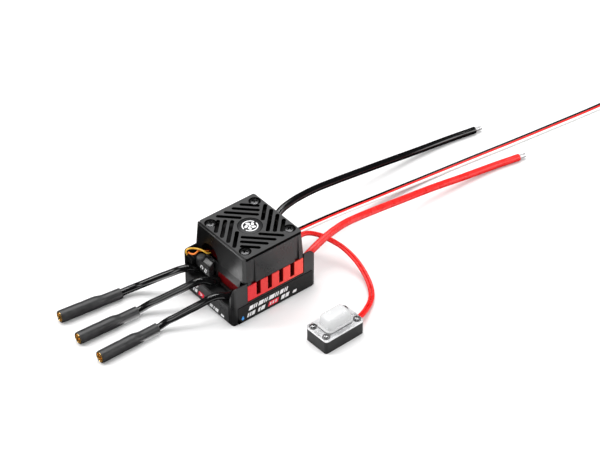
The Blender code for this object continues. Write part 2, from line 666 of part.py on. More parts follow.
def build_ports():
    port = make("port_housing", rounded_block((-21.6, 2.4, 14.7), (-18.7, 9.8, 20.2), 0.4, 2),
                "black_plastic")
    fuse(port, rounded_block((-21.6, 8.9, 15.9), (-18.7, 12.5, 20.2), 0.4, 2))
    raised = block((-20.9, 2.6, 19.8), (-18.8, 7.6, 21.9))
    round_edges(raised, "Y", 1.6, 1, keep=lambda m: m.x < -20.5 and m.z > 21)
    fuse(port, raised)
    # Its back plate stands between the heatsink and the shroud's wall, and closes the arch below the leads
    fuse(port, block((-19.2, 5.0, 16.6), (-16.0, 11.5, 19.4)))
    fuse(port, block((-19.1, 5.1, 12.8), (-16.1, 9.6, 17.0)))
    fuse(port, block((-16.35, 1.4, DECK_Z + 0.3), (-15.85, 15.4, 20.3)))
    cap_profile = ((0, 1.3), (1.6, 1.3), (2.1, 0.9), (2.1, 0.0), (0, 0.0))
    turned("port_cap", cap_profile, "grey_rubber", (-20.1, 10.2, 20.5), steps=16)
    plug = make("fan_plug", rounded_block((-23.9, 12.8, 16.7), (-20.6, 16.6, 20.0), 0.4, 2), "black_plastic")
    for x in (-22.9, -21.6):
        cut(plug, block((x - 0.35, 12.6, 19.4), (x + 0.35, 14.6, 20.5)),
            rod((x, 15.2, 18.4), (x, 17, 18.8), 0.75))
    for name, route in FAN_LEAD_ROUTES.items():
        curve_object(name, smooth_route(route, 0.9), 0.4, name.replace("fan_lead_", "") + "_silicone")


# ---- leads ----


def build_motor_leads():
    for number, (route, tip, turn) in enumerate(zip(MOTOR_ROUTES, SOCKET_TIPS, SLEEVE_TURNS), 1):
        back = Vector((math.cos(math.radians(turn)), -math.sin(math.radians(turn)), 0))
        tip = Vector((*tip, 0))

        def on_axis(distance, height):
            return tip + back * distance + Vector((0, 0, height))

        ends = (
            on_axis(SLEEVE_LENGTH + 1.5, NECK_AXIS_Z + 0.15),
            on_axis(SLEEVE_LENGTH - 1.0, NECK_AXIS_Z),
            on_axis(SLEEVE_LENGTH - 5.0, NECK_AXIS_Z),
            on_axis(SOCKET_LENGTH + 4.0, NECK_AXIS_Z + 0.05),
            on_axis(SOCKET_LENGTH + 0.3, NECK_AXIS_Z + 0.3),
        )
        curve_object(f"motor_lead_{number}", smooth_route(route + ends, 3.4), HEAVY_R, "black_silicone")

        outer = tube_shape(
            [on_axis(0.3, SLEEVE_AXIS_Z), on_axis(19.5, SLEEVE_AXIS_Z), on_axis(23.5, NECK_AXIS_Z),
             on_axis(SLEEVE_LENGTH, NECK_AXIS_Z)],
            [SLEEVE_R, SLEEVE_R, SLEEVE_NECK_R, SLEEVE_NECK_R],
        )
        inner = tube_shape(
            [on_axis(-1.0, SLEEVE_AXIS_Z), on_axis(19.6, SLEEVE_AXIS_Z), on_axis(23.7, NECK_AXIS_Z),
             on_axis(SLEEVE_LENGTH + 1.0, NECK_AXIS_Z)],
            [SLEEVE_R - 0.22, SLEEVE_R - 0.22, SLEEVE_NECK_R - 0.5, SLEEVE_NECK_R - 0.5],
        )
        cut(make(f"heat_shrink_{number}", outer, "shrink"), inner)

        along = (-back).to_track_quat("Z", "Y").to_euler()
        turned(f"bullet_socket_{number}", SOCKET_PROFILE, "gold", on_axis(0, SLEEVE_AXIS_Z), along, 20)


def build_power_leads():
    for name, route, finish in (
        ("power_lead_red", RED_ROUTE, "red_silicone"),
        ("power_lead_black", BLACK_ROUTE, "black_silicone"),
    ):
        points = smooth_route(route, 7.5)
        curve_object(name, points, HEAVY_R, finish)
        along = (points[-1] - points[-2]).normalized()
        start = points[-1] + along * 0.3
        tip = make(name.replace("lead", "tip"), rod(start, start + along * 3.6, 1.15, 12, 1.0), "tin")
        tip.data.shade_smooth()


def build_receiver_lead():
    points = smooth_route(RECEIVER_ROUTE, 3.4)
    for name, offset in (("black", CORE_PITCH), ("red", 0.0), ("white", -CORE_PITCH)):
        curve_object(f"receiver_core_{name}", sideways(points, offset), THIN_R, f"{name}_silicone")
    end = points[-1]
    plug = make("receiver_plug", rounded_block((0.3, -3.85, 0.05), (14.3, 3.85, 2.65), 0.5, 1),
                "black_plastic",
                origin=(0, 0, 0))
    for y in (-2.54, 0.0, 2.54):
        cut(plug, block((8.0, y - 0.6, 0.75), (16.0, y + 0.6, 1.95)))
        cut(plug, block((4.0, y - 0.7, 1.9), (7.0, y + 0.7, 3.0)))
    plug.location = Vector((end.x, end.y, 0)) * MM
    plug.rotation_euler = (0, 0, math.radians(PLUG_TURN))
    for modifier in plug.modifiers:
        modifier.object.parent = plug


# ---- switch module ----


def switch_frame(obj):
    """Puts an object that was made about the module's own origin into its place."""
    obj.parent = bpy.data.objects["switch_place"]
    for modifier in obj.modifiers:
        if modifier.type == "BOOLEAN":
            modifier.object.parent = bpy.data.objects["switch_place"]
    return obj


def build_switch():
    place = bpy.data.objects.new("switch_place", None)
    PART.objects.link(place)
    place.location = Vector((*SWITCH_AT, 0)) * MM
    place.rotation_euler = (0, 0, math.radians(SWITCH_TURN))
    half_x, half_y = SWITCH_SIZE[0] / 2, SWITCH_SIZE[1] / 2
    top = SWITCH_SIZE[2]
    corners = [(sx * SWITCH_SCREW[0], sy * SWITCH_SCREW[1]) for sx in (-1, 1) for sy in (-1, 1)]

    case = make("switch_case", rounded_block((-half_x, -half_y, 0), (half_x, half_y, top), 1.3, 3),
                "black_plastic")
    cut(case, block((-half_x + 1.4, -half_y + 1.4, 1.2), (half_x - 1.4, half_y - 1.4, top + 1)))
    for x, y in corners:
        fuse(case, rod((x, y, 0.8), (x, y, top), 1.9, 12))
    for x, y in corners:
        cut(case, rod((x, y, 2.0), (x, y, top + 1), 1.05, 10))
    fuse(case, block((half_x - 0.6, -2.6, 2.3), (half_x + 0.9, 0.6, 5.2)))
    switch_frame(case)

    plate = make("switch_plate",
                 rounded_block((-half_x - 0.1, -half_y - 0.1, top + 0.1),
                               (half_x + 0.1, half_y + 0.1, top + 1.1),
                               1.4, 3), "bright_steel")
    cut(plate, block((-6.3, -2.9, top - 1), (6.3, 2.9, top + 2)))
    for x, y in corners:
        cut(plate, rod((x, y, top - 1), (x, y, top + 2), 1.05, 12))
    switch_frame(plate)

    body = make("slide_switch", block((-5.9, -2.7, 1.5), (5.9, 2.7, 5.9)), "chip_black")
    cut(body, block((-3.4, -1.3, 4.4), (3.4, 1.3, 7.0)))
    switch_frame(body)

    slider = make("switch_slider",
                  block((SLIDER_REST - 1.8, -1.0, 4.7), (SLIDER_REST + 1.8, 1.0, 5.7)), "white_silicone",
                  origin=(SLIDER_REST, 0, 5.2))
    fuse(slider, block((SLIDER_REST - 1.1, -0.9, 5.2), (SLIDER_REST + 1.1, 0.9, 10.4)))
    switch_frame(slider)

    boot = make("switch_boot", rounded_block((-7.8, -4.7, top + 1.4), (7.8, 4.7, top + 2.3), 2.5, 3),
                "clear_rubber")
    fuse(boot, rounded_block((-6.9, -4.1, top + 1.8), (6.9, 4.1, top + 8.0), 1.8, 3))
    cut(boot, rounded_block((-5.9, -3.1, top), (5.9, 3.1, top + 7.2), 0.9, 2))
    switch_frame(boot)

    for number, (x, y) in enumerate(corners, 1):
        head = ((0, 1.1), (0.9, 1.1), (1.4, 0.6), (1.4, 0.3), (1.85, 0.3), (1.85, 0.0), (0.75, 0.0),
                (0.75, -4.5), (0, -4.5))
        screw = turned(f"switch_screw_{number}", head, "bright_steel", (x, y, top + 1.35), steps=14)
        screw.parent = place

    points = smooth_route(SWITCH_ROUTE, 2.6)
    for number, offset in ((1, TWIN_PITCH / 2), (2, -TWIN_PITCH / 2)):
        curve_object(f"switch_lead_{number}", sideways(points, offset), TWIN_R, "red_silicone")


build_case()
build_boards()
build_seals()
build_heatsink()
build_shroud()
build_grille()
build_fan()
build_ports()
build_motor_leads()
build_power_leads()
build_receiver_lead()
build_switch()
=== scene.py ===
"""Looks of the speed controller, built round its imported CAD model.

Lengths are in millimetres in the model's own frame (origin under the middle of the case, +Z up, motor leads
at -X, power leads at +X) and become metres where a mesh is written. Routes repeat those of the CAD source.
"""

import math

import bmesh
import bpy
from mathutils import Matrix, Vector


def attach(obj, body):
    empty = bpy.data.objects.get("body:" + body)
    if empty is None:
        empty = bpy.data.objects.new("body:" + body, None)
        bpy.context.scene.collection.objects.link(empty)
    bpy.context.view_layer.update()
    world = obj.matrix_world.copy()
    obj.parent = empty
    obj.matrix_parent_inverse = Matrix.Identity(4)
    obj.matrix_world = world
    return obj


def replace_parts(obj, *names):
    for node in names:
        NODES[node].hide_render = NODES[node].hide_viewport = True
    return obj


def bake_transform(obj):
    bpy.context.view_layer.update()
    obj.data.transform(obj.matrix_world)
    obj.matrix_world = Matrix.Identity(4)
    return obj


MM = 0.001
WELD = 1e-6

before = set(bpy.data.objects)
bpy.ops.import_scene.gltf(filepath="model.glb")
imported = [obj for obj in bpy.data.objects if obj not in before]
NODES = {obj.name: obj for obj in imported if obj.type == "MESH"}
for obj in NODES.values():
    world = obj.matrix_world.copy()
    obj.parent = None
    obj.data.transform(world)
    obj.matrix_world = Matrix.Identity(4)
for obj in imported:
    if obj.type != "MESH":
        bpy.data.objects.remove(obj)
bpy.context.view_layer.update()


# ---------------------------------------------------------------- camera

CAMERA_AT = (-474.0, -618.3, 676.0)
CAMERA_RIGHT = Vector((0.77551, -0.63134, 0.00108))
CAMERA_UP = Vector((0.40094, 0.49381, 0.77162))
LENS = 132
SENSOR = 36


def make_camera():
    data = bpy.data.cameras.new("camera")
    data.lens = LENS
    data.sensor_width = SENSOR
    data.clip_start = 0.02
    data.clip_end = 30
    camera = bpy.data.objects.new("camera", data)
    bpy.context.scene.collection.objects.link(camera)
    back = CAMERA_RIGHT.cross(CAMERA_UP)
    axes = Matrix((CAMERA_RIGHT, CAMERA_UP, back)).transposed()
    camera.matrix_world = Matrix.Translation(Vector(CAMERA_AT) * MM) @ axes.to_4x4()
    bpy.context.scene.camera = camera


make_camera()


# ---------------------------------------------------------------- materials


def link(tree, source, target):
    tree.links.new(source, target)


def noise(tree, coordinates, size, detail=2.0, stretch=(1, 1, 1)):
    """Noise whose cells are about size mm across, pulled along an axis where stretch is over 1."""
    mapping = tree.nodes.new("ShaderNodeMapping")
    mapping.inputs["Scale"].default_value = [1 / (size * MM * s) for s in stretch]
    link(tree, coordinates, mapping.inputs["Vector"])
    node = tree.nodes.new("ShaderNodeTexNoise")
    node.inputs["Scale"].default_value = 1.0
    node.inputs["Detail"].default_value = detail
    link(tree, mapping.outputs["Vector"], node.inputs["Vector"])
    return node.outputs["Fac"]


def spread(tree, value, low, high, from_low=0.3, from_high=0.7):
    node = tree.nodes.new("ShaderNodeMapRange")
    node.inputs["From Min"].default_value = from_low
    node.inputs["From Max"].default_value = from_high
    node.inputs["To Min"].default_value = low
    node.inputs["To Max"].default_value = high
    link(tree, value, node.inputs["Value"])
    return node.outputs["Result"]


def math_node(tree, operation, first, second=None):
    node = tree.nodes.new("ShaderNodeMath")
    node.operation = operation
    for value, socket in zip((first, second), node.inputs):
        if isinstance(value, bpy.types.NodeSocket):
            link(tree, value, socket)
        elif value is not None:
            socket.default_value = value
    return node.outputs["Value"]


def finish(
    name,
    colour,
    roughness,
    metallic=0.0,
    vary=0.2,
    patch=5.0,
    rough_vary=0.08,
    grain=0.0,
    grain_size=0.3,
    grain_depth=0.02,
    stretch=(1, 1, 1),
    shade=(),
    joined="MULTIPLY",
    fade=None,
    **sockets,
):
    """A surface with patchy colour and gloss and a fine grain. grain_depth is in millimetres.

    shade darkens the surface by its place on the object, to deepen recesses and hidden sides that the soft
    light leaves too bright. Each entry is (axis, centre, low, high, tone): colour and gloss go from tone of
    themselves to all of themselves while the distance from the centre goes from low to high, in millimetres.
    joined says how several combine. fade is (axis, low, high, colour), a slow change towards a second colour.
    """
    material = bpy.data.materials.new(name)
    material.use_nodes = True
    tree = material.node_tree
    shader = tree.nodes["Principled BSDF"]
    coordinates = tree.nodes.new("ShaderNodeTexCoord").outputs["Object"]
    patches = noise(tree, coordinates, patch, 4.0)
    mix = tree.nodes.new("ShaderNodeMix")
    mix.data_type = "RGBA"
    mix.inputs["A"].default_value = (*[c * (1 - vary) for c in colour], 1)
    mix.inputs["B"].default_value = (*[min(1.0, c * (1 + vary)) for c in colour], 1)
    link(tree, spread(tree, patches, 0.0, 1.0), mix.inputs["Factor"])
    colour_out = mix.outputs["Result"]
    split = tree.nodes.new("ShaderNodeSeparateXYZ")
    link(tree, coordinates, split.inputs["Vector"])
    if fade:
        axis, low, high, other = fade
        wash = tree.nodes.new("ShaderNodeMix")
        wash.data_type = "RGBA"
        link(tree, spread(tree, split.outputs[axis], 0.0, 1.0, low * MM, high * MM), wash.inputs["Factor"])
        link(tree, colour_out, wash.inputs["A"])
        wash.inputs["B"].default_value = (*other, 1)
        colour_out = wash.outputs["Result"]
    # Painted shade: colour and gloss are darkened by where a point lies on the object, standing in for shade
    # in recesses and on hidden sides
    if shade:
        level = None
        for axis, centre, low, high, tone in shade:
            size = math_node(tree, "ABSOLUTE", math_node(tree, "SUBTRACT", split.outputs[axis], centre * MM))
            painted_shade_step = spread(tree, size, tone, 1.0, low * MM, high * MM)
            level = math_node(tree, joined, level, painted_shade_step) if level else painted_shade_step
        painted_shade_mix = tree.nodes.new("ShaderNodeMix")
        painted_shade_mix.data_type = "RGBA"
        painted_shade_mix.inputs["A"].default_value = (0, 0, 0, 1)
        link(tree, level, painted_shade_mix.inputs["Factor"])
        link(tree, colour_out, painted_shade_mix.inputs["B"])
        colour_out = painted_shade_mix.outputs["Result"]
        gloss = sockets.pop("Specular_IOR_Level", 0.5)
        link(tree, math_node(tree, "MULTIPLY", level, gloss), shader.inputs["Specular IOR Level"])
    link(tree, colour_out, shader.inputs["Base Color"])
    fine = noise(tree, coordinates, grain_size, 3.0, stretch)
    coarse_gloss = spread(tree, patches, roughness - rough_vary, roughness + rough_vary)
    fine_gloss = spread(tree, fine, -0.4 * rough_vary, 0.4 * rough_vary)
    link(tree, math_node(tree, "ADD", coarse_gloss, fine_gloss), shader.inputs["Roughness"])
    shader.inputs["Metallic"].default_value = metallic
    if grain:
        bump = tree.nodes.new("ShaderNodeBump")
        bump.inputs["Strength"].default_value = grain
        bump.inputs["Distance"].default_value = grain_depth * MM
        link(tree, fine, bump.inputs["Height"])
        link(tree, bump.outputs["Normal"], shader.inputs["Normal"])
    for socket, value in sockets.items():
        shader.inputs[socket.replace("_", " ")].default_value = value
    return material


FINISH = {
    "black_plastic": finish("black_plastic", (0.013, 0.013, 0.0135), 0.36, vary=0.15, grain=0.5,
                            grain_size=0.22, grain_depth=0.03, Specular_IOR_Level=0.4),
    "box_plastic": finish("box_plastic", (0.009, 0.009, 0.0095), 0.4, vary=0.15, patch=6, grain=0.6,
                          grain_size=0.1, grain_depth=0.012, Specular_IOR_Level=0.22),
    "port_plastic": finish("port_plastic", (0.02, 0.02, 0.0205), 0.3, vary=0.15, grain=0.4, grain_size=0.22,
                           grain_depth=0.03, Specular_IOR_Level=0.55),
    "plug_plastic": finish("plug_plastic", (0.004, 0.004, 0.004), 0.4, vary=0.15, grain=0.4, grain_size=0.22,
                           grain_depth=0.03, Specular_IOR_Level=0.15),
    # Painted shade: the shroud is darkest, at 30 %, on its +Y side from Y = 10 to 18, and reaches full tone
    # only from Y = -8 down
    "shroud_plastic": finish("shroud_plastic", (0.012, 0.012, 0.0125), 0.3, vary=0.12, patch=9,
                             rough_vary=0.04, grain=0.5, grain_size=0.25, grain_depth=0.02,
                             Specular_IOR_Level=0.5,
                             shade=(("Y", 14, 4, 22, 0.3),)),
    # The fan is black plastic, made darker and less glossy than the case's as painted shade for it deep under
    # the grille
    "fan_plastic": finish("fan_plastic", (0.004, 0.004, 0.004), 0.45, vary=0.15, patch=4, grain=0.4,
                          grain_size=0.25, Specular_IOR_Level=0.12),
    # Painted shade: everything of the grille below Z = 35.1, the slot walls and its sides, is darkened to 2
    # %, and lightens to full tone by Z = 35.3
    # The grille's grey is lighter than the other black plastics; in part it is painted sheen for its top face
    "grille_plastic": finish("grille_plastic", (0.04, 0.04, 0.041), 0.5, vary=0.12, grain=0.6,
                             grain_size=0.22, grain_depth=0.03, Specular_IOR_Level=0.45,
                             shade=(("Z", 0, 35.1, 35.3, 0.02),)),
    # Painted light: the red turns lighter and more orange from X = -14 to X = 16, standing in for the
    # brighter lit blocks at the power end
    # Painted shade: the heatsink inside |Y| = 18.2 and short of X = 15.2, which holds the gaps between the
    # blocks and the band at the motor end, is darkened to 20 %; the blocks' ±Y faces and the +X end keep full
    # tone
    "red_anodised": finish("red_anodised", (0.78, 0.012, 0.02), 0.34, 0.35, vary=0.1, patch=8, grain=0.5,
                           grain_size=0.12, grain_depth=0.012, fade=("X", -14, 16, (0.95, 0.07, 0.045)),
                           shade=(("Y", 0, 18.2, 18.6, 0.08), ("X", -5, 20.2, 20.5, 0.2)), joined="MAXIMUM"),
    "label_black": finish("label_black", (0.002, 0.002, 0.002), 0.22, vary=0.1, patch=20, rough_vary=0.03,
                          Specular_IOR_Level=0.16),
    "label_grey": finish("label_grey", (0.05, 0.05, 0.051), 0.3, vary=0.25, patch=7, rough_vary=0.04,
                         Specular_IOR_Level=0.5),
    "print_white": finish("print_white", (0.85, 0.85, 0.86), 0.35, vary=0.03, patch=2),
    "print_red": finish("print_red", (0.8, 0.012, 0.04), 0.35, vary=0.05, patch=2),
    "print_blue": finish("print_blue", (0.02, 0.3, 0.8), 0.35, vary=0.05, patch=2),
    "black_silicone": finish("black_silicone", (0.005, 0.005, 0.0055), 0.14, vary=0.2, patch=4,
                             rough_vary=0.02, grain=0.1, grain_size=0.5, grain_depth=0.02,
                             Specular_IOR_Level=0.7),
    "red_silicone": finish("red_silicone", (0.8, 0.018, 0.016), 0.28, vary=0.06, patch=5, rough_vary=0.05,
                           grain=0.25, grain_size=0.5, grain_depth=0.03),
    "white_silicone": finish("white_silicone", (0.9, 0.89, 0.88), 0.38, vary=0.04, patch=4, grain=0.2,
                             grain_size=0.4),
    "yellow_silicone": finish("yellow_silicone", (0.9, 0.5, 0.06), 0.3, vary=0.15, patch=2, grain=0.2,
                              grain_size=0.3),
    "orange_silicone": finish("orange_silicone", (0.8, 0.2, 0.02), 0.3, vary=0.15, patch=2, grain=0.2,
                              grain_size=0.3),
    "shrink": finish("shrink", (0.03, 0.03, 0.031), 0.42, vary=0.25, patch=3, grain=0.5, grain_size=0.6,
                     grain_depth=0.06, stretch=(3, 1, 1), Specular_IOR_Level=0.6),
    "gold": finish("gold", (0.86, 0.56, 0.2), 0.2, 0.9, vary=0.1, patch=2, grain=0.2, grain_size=0.1,
                   grain_depth=0.01),
    "tin": finish("tin", (0.8, 0.8, 0.81), 0.3, 0.7, vary=0.1, patch=1, grain=0.8, grain_size=0.35,
                  grain_depth=0.06, stretch=(4, 1, 1)),
    "steel": finish("steel", (0.09, 0.09, 0.092), 0.24, 0.95, vary=0.3, patch=0.9, grain=0.3,
                    grain_size=0.1, grain_depth=0.01),
    "screw_steel": finish("screw_steel", (0.3, 0.3, 0.305), 0.2, 0.95, vary=0.2, patch=1, grain=0.3,
                          grain_size=0.1, grain_depth=0.008),
    "plate_steel": finish("plate_steel", (0.68, 0.68, 0.69), 0.26, 0.85, vary=0.12, patch=5, grain=0.3,
                          grain_size=0.12, grain_depth=0.006, stretch=(20, 1, 1)),
    "bright_steel": finish("bright_steel", (0.82, 0.82, 0.83), 0.24, 0.6, vary=0.06, patch=4, grain=0.3,
                           grain_size=0.12, grain_depth=0.006, stretch=(20, 1, 1)),
    "grey_rubber": finish("grey_rubber", (0.035, 0.035, 0.036), 0.5, vary=0.15, patch=1.5, grain=0.5,
                          grain_size=0.2),
    "seal_rubber": finish("seal_rubber", (0.004, 0.004, 0.004), 0.5, vary=0.3, patch=1.5, grain=0.5,
                          grain_size=0.3, Specular_IOR_Level=0.25),
    "board_green": finish("board_green", (0.015, 0.1, 0.04), 0.35, vary=0.25, patch=2, grain=0.3,
                          grain_size=0.3),
    "copper": finish("copper", (0.75, 0.33, 0.18), 0.35, 1.0, vary=0.15, patch=1, grain=0.4, grain_size=0.3),
    "pad_grey": finish("pad_grey", (0.35, 0.37, 0.4), 0.8, vary=0.1, patch=1, grain=0.5, grain_size=0.3),
    "chip_black": finish("chip_black", (0.012, 0.012, 0.0125), 0.5, vary=0.2, patch=1, grain=0.4,
                         grain_size=0.15),
    "can_metal": finish("can_metal", (0.6, 0.6, 0.62), 0.3, 0.9, vary=0.08, patch=1, grain=0.3,
                        grain_size=0.15),
    "clear_rubber": finish("clear_rubber", (0.8, 0.805, 0.81), 0.2, vary=0.02, patch=2, grain=0.3,
                           grain_size=0.5, Transmission_Weight=0.3, IOR=1.4),
    "badge_black": finish("badge_black", (0.018, 0.018, 0.019), 0.3, vary=0.15, patch=6, rough_vary=0.04,
                          grain=0.2, grain_size=0.2, Specular_IOR_Level=0.3),
}


# ---------------------------------------------------------------- mesh helpers


def add_object(name, data, finish_name, body="root"):
    obj = bpy.data.objects.new(name, data)
    bpy.context.scene.collection.objects.link(obj)
    data.materials.append(FINISH[finish_name])
    if body:
        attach(obj, body)
    return obj


def mesh_object(name, bm, finish_name, body="root", angle=35):
    """A piece from a bmesh in metres, shaded smooth except across edges sharper than angle."""
    mesh = bpy.data.meshes.new(name)
    bm.to_mesh(mesh)
    bm.free()
    mesh.shade_smooth()
    mesh.set_sharp_from_angle(angle=math.radians(angle))
    return add_object(name, mesh, finish_name, body)


def turned_solid(name, profile, at, finish_name, body="root", steps=48, direction=(0, 0, 1),
                 angle=35):
    """A lathe shape about an axis through at; profile is (radius, height) from axis to axis."""
    turn = Vector(direction).to_track_quat("Z", "Y").to_matrix()
    bm = bmesh.new()
    verts = [bm.verts.new((turn @ Vector((r, 0, h)) + Vector(at)) * MM) for r, h in profile]
    edges = [bm.edges.new(pair) for pair in zip(verts, verts[1:])]
    bmesh.ops.spin(bm, geom=verts + edges, axis=turn @ Vector((0, 0, 1)), cent=Vector(at) * MM, steps=steps,
                   angle=2 * math.pi, use_merge=True)
    bmesh.ops.remove_doubles(bm, verts=bm.verts, dist=WELD)
    bmesh.ops.recalc_face_normals(bm, faces=bm.faces)
    return mesh_object(name, bm, finish_name, body, angle)


def smooth_route(route, step):
    """Evenly spaced points, about a step apart, on a smooth curve through the route's points."""
    points = [Vector(point) for point in route]
    gaps = [(b - a).length for a, b in zip(points, points[1:])]
    slopes = [(b - a) / gap for a, b, gap in zip(points, points[1:], gaps)]
    tangents = [slopes[0]]
    for i in range(1, len(points) - 1):
        before, after = gaps[i - 1], gaps[i]
        tangents.append((slopes[i - 1] * after + slopes[i] * before) / (before + after))
    tangents.append(slopes[-1])
    fine = [points[0]]
    for i, gap in enumerate(gaps):
        for k in range(1, 25):
            u = k / 24
            fine.append(
                points[i] * (2 * u**3 - 3 * u**2 + 1)
                + tangents[i] * gap * (u**3 - 2 * u**2 + u)
                + points[i + 1] * (3 * u**2 - 2 * u**3)
                + tangents[i + 1] * gap * (u**3 - u**2)
            )
    lengths = [0.0]
    for a, b in zip(fine, fine[1:]):
        lengths.append(lengths[-1] + (b - a).length)
    count = max(2, math.ceil(lengths[-1] / step))
    even, k = [], 0
    for i in range(count + 1):
        target = lengths[-1] * i / count
        while k < len(fine) - 2 and lengths[k + 1] < target:
            k += 1
        share = (target - lengths[k]) / (lengths[k + 1] - lengths[k])
        even.append(fine[k].lerp(fine[k + 1], min(max(share, 0.0), 1.0)))
    return even


def sideways(points, distance):
    """The same route moved level to its left by a distance."""
    moved = []
    for i, point in enumerate(points):
        along = points[min(i + 1, len(points) - 1)] - points[max(i - 1, 0)]
        left = Vector((-along.y, along.x, 0)).normalized()
        moved.append(point + left * distance)
    return moved


def lead(name, points, radius, finish_name, node):
    """A round lead along points, in place of its CAD node."""
    curve = bpy.data.curves.new(name, "CURVE")
    curve.dimensions = "3D"
    curve.bevel_depth = radius * MM
    curve.bevel_resolution = 6
    curve.use_fill_caps = True
    spline = curve.splines.new("POLY")
    spline.points.add(len(points) - 1)
    for target, point in zip(spline.points, points):
        target.co = (*(Vector(point) * MM), 1.0)
    spline.use_smooth = True
    obj = add_object(name, curve, finish_name)
    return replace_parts(obj, node)


def along_rings(name, rings, finish_name, sides=32):
    """A closed skin through circles: each ring is (centre, direction, radius), from one end to the other."""
    bm = bmesh.new()
    loops = []
    for centre, direction, radius in rings:
        across = direction.to_track_quat("Z", "Y").to_matrix()
        loops.append(
            [
                bm.verts.new(
                    (Vector(centre) + across @ Vector((radius * math.cos(a), radius * math.sin(a), 0))) * MM
                )
                for a in (2 * math.pi * k / sides for k in range(sides))
            ]
        )
    for a, b in zip(loops, loops[1:] + loops[:1]):
        for k in range(sides):
            bm.faces.new((a[k], a[(k + 1) % sides], b[(k + 1) % sides], b[k]))
    bmesh.ops.recalc_face_normals(bm, faces=bm.faces)
    return mesh_object(name, bm, finish_name, angle=50)


# ---------------------------------------------------------------- free leads

HEAVY_R = 1.8
THIN_R = 0.6
TWIN_R = 0.72
TWIN_PITCH = 1.5
CORE_PITCH = 1.3
SLEEVE_LENGTH = 32.0
SLEEVE_R = 3.0
SLEEVE_NECK_R = 2.6
SLEEVE_AXIS_Z = 3.05
NECK_AXIS_Z = 2.65
SOCKET_LENGTH = 19.0

MOTOR_ROUTES = (
    ((-20.5, 12.4, 12.5), (-22.0, 12.8, 13.2), (-24.3, 13.8, 14.3), (-28.4, 15.9, 14.0), (-32.2, 18.5, 12.1),
     (-35.6, 21.8, 9.5), (-39.2, 25.0, 6.8), (-42.9, 27.9, 4.4), (-47.4, 29.8, 3.1)),
    ((-20.7, 0.1, 12.5), (-22.3, 0.6, 13.1), (-24.5, 1.8, 14.5), (-26.8, 2.6, 15.1), (-29.0, 3.5, 14.6),
     (-36.0, 7.4, 10.9), (-43.0, 11.3, 7.1), (-48.5, 14.4, 4.2)),
    ((-20.4, -11.5, 12.4), (-22.5, -11.2, 12.7), (-25.0, -10.3, 13.6), (-27.3, -9.5, 13.9),
     (-29.8, -8.8, 13.6), (-32.5, -7.9, 12.5), (-38.0, -5.3, 9.6), (-44.0, -2.4, 6.4), (-49.0, 0.0, 3.8)),
)
SOCKET_TIPS = ((-84.1, 34.4), (-85.9, 17.0), (-85.5, 0.5))
SLEEVE_TURNS = (6.8, 2.9, 0.4)
RED_ROUTE = (
    (21.3, -13.5, 13.05), (26.2, -13.1, 15.2), (35.2, -11.4, 16.8), (43.2, -10.1, 17.3), (51.3, -9.1, 17.0),
    (59.7, -8.9, 16.2), (67.9, -8.5, 14.9), (86.6, -7.0, 11.0), (109.7, -5.1, 6.1), (130.0, -5.9, 3.4),
    (149.5, -7.5, 1.9), (163.6, -10.1, 1.85),
)
BLACK_ROUTE = (
    (21.3, 13.5, 13.05), (22.8, 13.7, 13.8), (26.2, 14.7, 15.7), (31.0, 16.4, 17.6), (40.2, 18.3, 18.2),
    (47.9, 19.5, 17.5), (55.8, 20.7, 16.2), (70.3, 22.4, 13.1), (86.3, 23.8, 9.7), (104.9, 24.7, 6.3),
    (126.3, 24.7, 3.2), (146.2, 23.2, 1.9), (161.8, 20.6, 1.85),
)
RECEIVER_ROUTE = (
    (21.9, 4.6, 12.1), (28.0, 4.7, 12.3), (35.6, 5.0, 11.8), (47.3, 5.8, 10.2), (63.9, 6.9, 7.6),
    (82.7, 8.0, 4.4), (100.3, 8.1, 2.4), (114.4, 7.6, 1.3), (128.8, 6.6, 0.7), (150.4, 4.2, 0.65),
    (170.4, 1.8, 0.65), (200.9, -1.5, 0.65), (227.6, -4.1, 0.65), (235.9, -4.8, 0.8), (240.0, -5.1, 1.3),
)
SWITCH_ROUTE = (
    (21.9, -1.2, 12.1), (25.0, -1.0, 13.4), (28.6, -0.6, 14.4), (32.4, -0.6, 14.4), (35.3, -1.5, 13.8),
    (37.5, -2.9, 13.0), (39.4, -4.7, 12.2), (41.1, -7.0, 11.2), (42.7, -10.1, 10.2), (44.2, -13.8, 9.0),
    (45.1, -17.8, 7.6), (45.4, -22.2, 6.2), (44.4, -30.6, 3.4), (41.4, -38.4, 1.7), (38.0, -43.2, 1.4),
    (34.4, -46.4, 1.6), (30.1, -49.1, 2.2), (25.6, -51.5, 3.0), (20.95, -53.2, 3.75),
)


def make_socket(name, tip, along, node):
    """A turned bullet socket with its mouth at tip, opening along a direction."""
    profile = (
        (0, -11.0), (1.2, -11.0), (2.1, -10.4), (2.1, -0.35), (2.2, -0.08), (2.32, 0.0), (2.45, 0.0),
        (2.6, -0.08), (2.65, -0.25), (2.65, -11.8), (2.55, -12.0), (2.32, -12.15), (2.3, -12.4),
        (2.3, -13.1), (2.42, -13.4), (2.5, -13.7), (2.5, -18.8), (2.35, -SOCKET_LENGTH), (0, -SOCKET_LENGTH),
    )
    socket = turned_solid(name, profile, tip, "gold", direction=along, angle=40)
    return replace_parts(socket, node)


